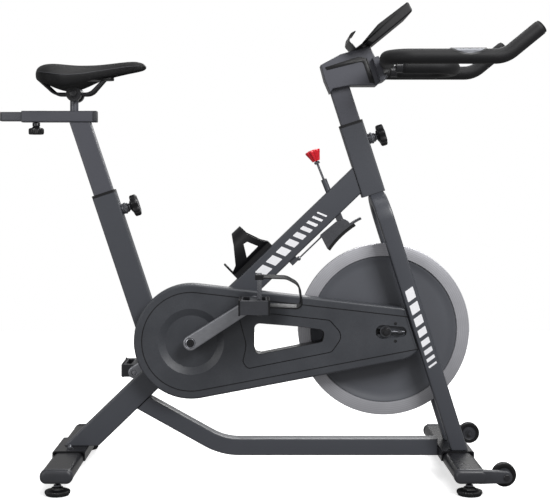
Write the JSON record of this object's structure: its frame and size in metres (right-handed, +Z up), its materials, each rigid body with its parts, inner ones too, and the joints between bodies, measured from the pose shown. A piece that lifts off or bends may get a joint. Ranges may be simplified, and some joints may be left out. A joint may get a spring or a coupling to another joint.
{
  "type": "exercise bike",
  "caption": "Upright indoor cycling bike with belt-driven flywheel, press brake, sliding seat and handlebar posts and a sprung-pin height lock on each.",
  "frame": {"origin": "on the floor, under the centre of the whole bike's box", "axes": "+X to the front of the bike, +Y to the rider's left, +Z up"},
  "size_m": [1.2467, 0.506, 1.104],
  "materials": {
    "frame_paint": "satin powder coat, charcoal",
    "post_paint": "satin powder coat, lighter charcoal",
    "machined_iron": "turned rim, painted web",
    "bright_steel": "satin plated steel",
    "dark_steel": "zinc plated steel",
    "crank_steel": "polished alloy",
    "black_plastic": "moulded black plastic",
    "cover_plastic": "moulded ABS, fine texture",
    "rubber": "moulded rubber",
    "foam": "closed-cell foam sleeve over steel tube",
    "leatherette": "stitched leatherette over foam",
    "red_plastic": "moulded red plastic"
  },
  "bodies": {
    "frame": {"spine_tube": "frame_paint", "seat_tube": "frame_paint", "seat_tube_bush": "black_plastic", "head_tube": "frame_paint", "head_tube_bush": "black_plastic", "fork": "frame_paint", "lower_tube": "frame_paint", "bottom_bracket": "dark_steel", "rear_stabiliser": "frame_paint", "front_stabiliser": "frame_paint", "rear_cap_right": "black_plastic", "rear_cap_left": "black_plastic", "front_cap_right": "black_plastic", "front_cap_left": "black_plastic", "drive_cover": "cover_plastic", "drive_cover_back": "black_plastic", "flywheel_axle": "dark_steel", "belt_adjuster": "dark_steel", "drive_belt": "rubber", "bottle_cage": "black_plastic"},
    "crank": {"crank_spindle": "dark_steel", "drive_pulley": "black_plastic", "crank_right": "crank_steel", "crank_left": "crank_steel"},
    "pedal_right": {"pedal_right": "black_plastic", "toe_cage_right": "black_plastic", "toe_strap_right": "rubber"},
    "pedal_left": {"pedal_left": "black_plastic", "toe_cage_left": "black_plastic", "toe_strap_left": "rubber"},
    "flywheel": {"flywheel": "machined_iron", "flywheel_pulley": "black_plastic"},
    "seat_post": {"seat_post": "post_paint", "slider_sleeve": "post_paint", "slider_sleeve_cap": "black_plastic"},
    "saddle_slide": {"saddle_slider": "bright_steel", "saddle_pipe": "bright_steel"},
    "saddle": {"saddle_clamp": "dark_steel", "saddle_rails": "bright_steel", "saddle": "leatherette"},
    "slider_knob": {"slider_knob": "black_plastic"},
    "handlebar": {"handlebar_post": "post_paint", "handlebar_bracket": "post_paint", "handlebar_bar": "foam", "handlebar_loop": "foam", "tablet_holder": "black_plastic"},
    "seat_pin": {"seat_pin_housing": "dark_steel"},
    "seat_knob": {"seat_knob": "black_plastic"},
    "handlebar_pin": {"handlebar_pin_housing": "dark_steel"},
    "handlebar_knob": {"handlebar_knob": "black_plastic"},
    "brake_plunger": {"brake_plunger": "dark_steel"},
    "brake_knob": {"brake_knob": "red_plastic"},
    "brake_arm": {"brake_arm": "dark_steel", "brake_pad": "rubber"},
    "front_foot_right": {"front_foot_right": "rubber"},
    "front_foot_left": {"front_foot_left": "rubber"},
    "rear_foot_right": {"rear_foot_right": "rubber"},
    "rear_foot_left": {"rear_foot_left": "rubber"},
    "transport_wheel_right": {"transport_wheel_right": "rubber"},
    "transport_wheel_left": {"transport_wheel_left": "rubber"}
  },
  "joints": [
    {"name": "crank_spin", "type": "hinge", "parent": "frame", "child": "crank", "pos_m": [-0.173, 0, 0.313], "axis": [0, 1, 0], "continuous": true},
    {"name": "flywheel_spin", "type": "hinge", "parent": "frame", "child": "flywheel", "pos_m": [0.281, 0, 0.336], "axis": [0, 1, 0], "continuous": true},
    {"name": "pedal_right_spin", "type": "hinge", "parent": "crank", "child": "pedal_right", "pos_m": [-0.02541, -0.155, 0.40703], "axis": [0, 1, 0], "continuous": true},
    {"name": "pedal_left_spin", "type": "hinge", "parent": "crank", "child": "pedal_left", "pos_m": [-0.32059, 0.155, 0.21897], "axis": [0, 1, 0], "continuous": true},
    {"name": "seat_height", "type": "slide", "parent": "frame", "child": "seat_post", "axis": [-0.3165, 0, 0.9486], "range_m": [-0.15, 0.06]},
    {"name": "saddle_fore_aft", "type": "slide", "parent": "seat_post", "child": "saddle_slide", "axis": [1, 0, 0], "range_m": [-0.05, 0.012]},
    {"name": "saddle_tilt", "type": "hinge", "parent": "saddle_slide", "child": "saddle", "pos_m": [-0.452, 0, 0.893], "axis": [0, 1, 0], "range_deg": [-10, 10]},
    {"name": "slider_knob_turn", "type": "hinge", "parent": "seat_post", "child": "slider_knob", "pos_m": [-0.545, 0, 0.806], "axis": [0, 0, 1], "continuous": true},
    {"name": "handlebar_height", "type": "slide", "parent": "frame", "child": "handlebar", "axis": [-0.3057, 0, 0.9521], "range_m": [-0.03, 0.08]},
    {"name": "seat_pin_turn", "type": "hinge", "parent": "frame", "child": "seat_pin", "pos_m": [-0.36779, 0, 0.61106], "axis": [0.9486, 0, 0.3165], "continuous": true},
    {"name": "seat_knob_pull", "type": "slide", "parent": "seat_pin", "child": "seat_knob", "axis": [0.9486, 0, 0.3165], "range_m": [0, 0.008], "stiffness_N_per_m": 600, "springref_m": -0.004},
    {"name": "handlebar_pin_turn", "type": "hinge", "parent": "frame", "child": "handlebar_pin", "pos_m": [0.21775, 0, 0.77859], "axis": [0.9521, 0, 0.3057], "continuous": true},
    {"name": "handlebar_knob_pull", "type": "slide", "parent": "handlebar_pin", "child": "handlebar_knob", "axis": [0.9521, 0, 0.3057], "range_m": [0, 0.008], "stiffness_N_per_m": 600, "springref_m": -0.004},
    {"name": "brake_press", "type": "slide", "parent": "frame", "child": "brake_plunger", "axis": [0.373, 0, -0.9278], "range_m": [0, 0.036], "stiffness_N_per_m": 700, "springref_m": -0.012},
    {"name": "brake_knob_turn", "type": "hinge", "parent": "brake_plunger", "child": "brake_knob", "pos_m": [0.1115, 0, 0.76], "axis": [0.373, 0, -0.9278], "continuous": true},
    {"name": "brake_arm_swing", "type": "hinge", "parent": "frame", "child": "brake_arm", "pos_m": [0.08, 0, 0.503], "axis": [0, 1, 0], "range_deg": [0, 18.3]},
    {"name": "front_foot_right_turn", "type": "hinge", "parent": "frame", "child": "front_foot_right", "pos_m": [0.446, -0.225, 0.01], "axis": [0, 0, 1], "continuous": true},
    {"name": "front_foot_left_turn", "type": "hinge", "parent": "frame", "child": "front_foot_left", "pos_m": [0.446, 0.225, 0.01], "axis": [0, 0, 1], "continuous": true},
    {"name": "rear_foot_right_turn", "type": "hinge", "parent": "frame", "child": "rear_foot_right", "pos_m": [-0.456, -0.225, 0.01], "axis": [0, 0, 1], "continuous": true},
    {"name": "rear_foot_left_turn", "type": "hinge", "parent": "frame", "child": "rear_foot_left", "pos_m": [-0.456, 0.225, 0.01], "axis": [0, 0, 1], "continuous": true},
    {"name": "transport_wheel_right_spin", "type": "hinge", "parent": "frame", "child": "transport_wheel_right", "pos_m": [0.523, -0.217, 0.043], "axis": [0, 1, 0], "continuous": true},
    {"name": "transport_wheel_left_spin", "type": "hinge", "parent": "frame", "child": "transport_wheel_left", "pos_m": [0.523, 0.217, 0.043], "axis": [0, 1, 0], "continuous": true}
  ],
  "couplings": [
    {"joint": "crank_spin", "follows": "flywheel_spin", "ratio": 0.28571},
    {"joint": "brake_arm_swing", "follows": "brake_press", "rad_per_m": 8.8712}
  ]
}
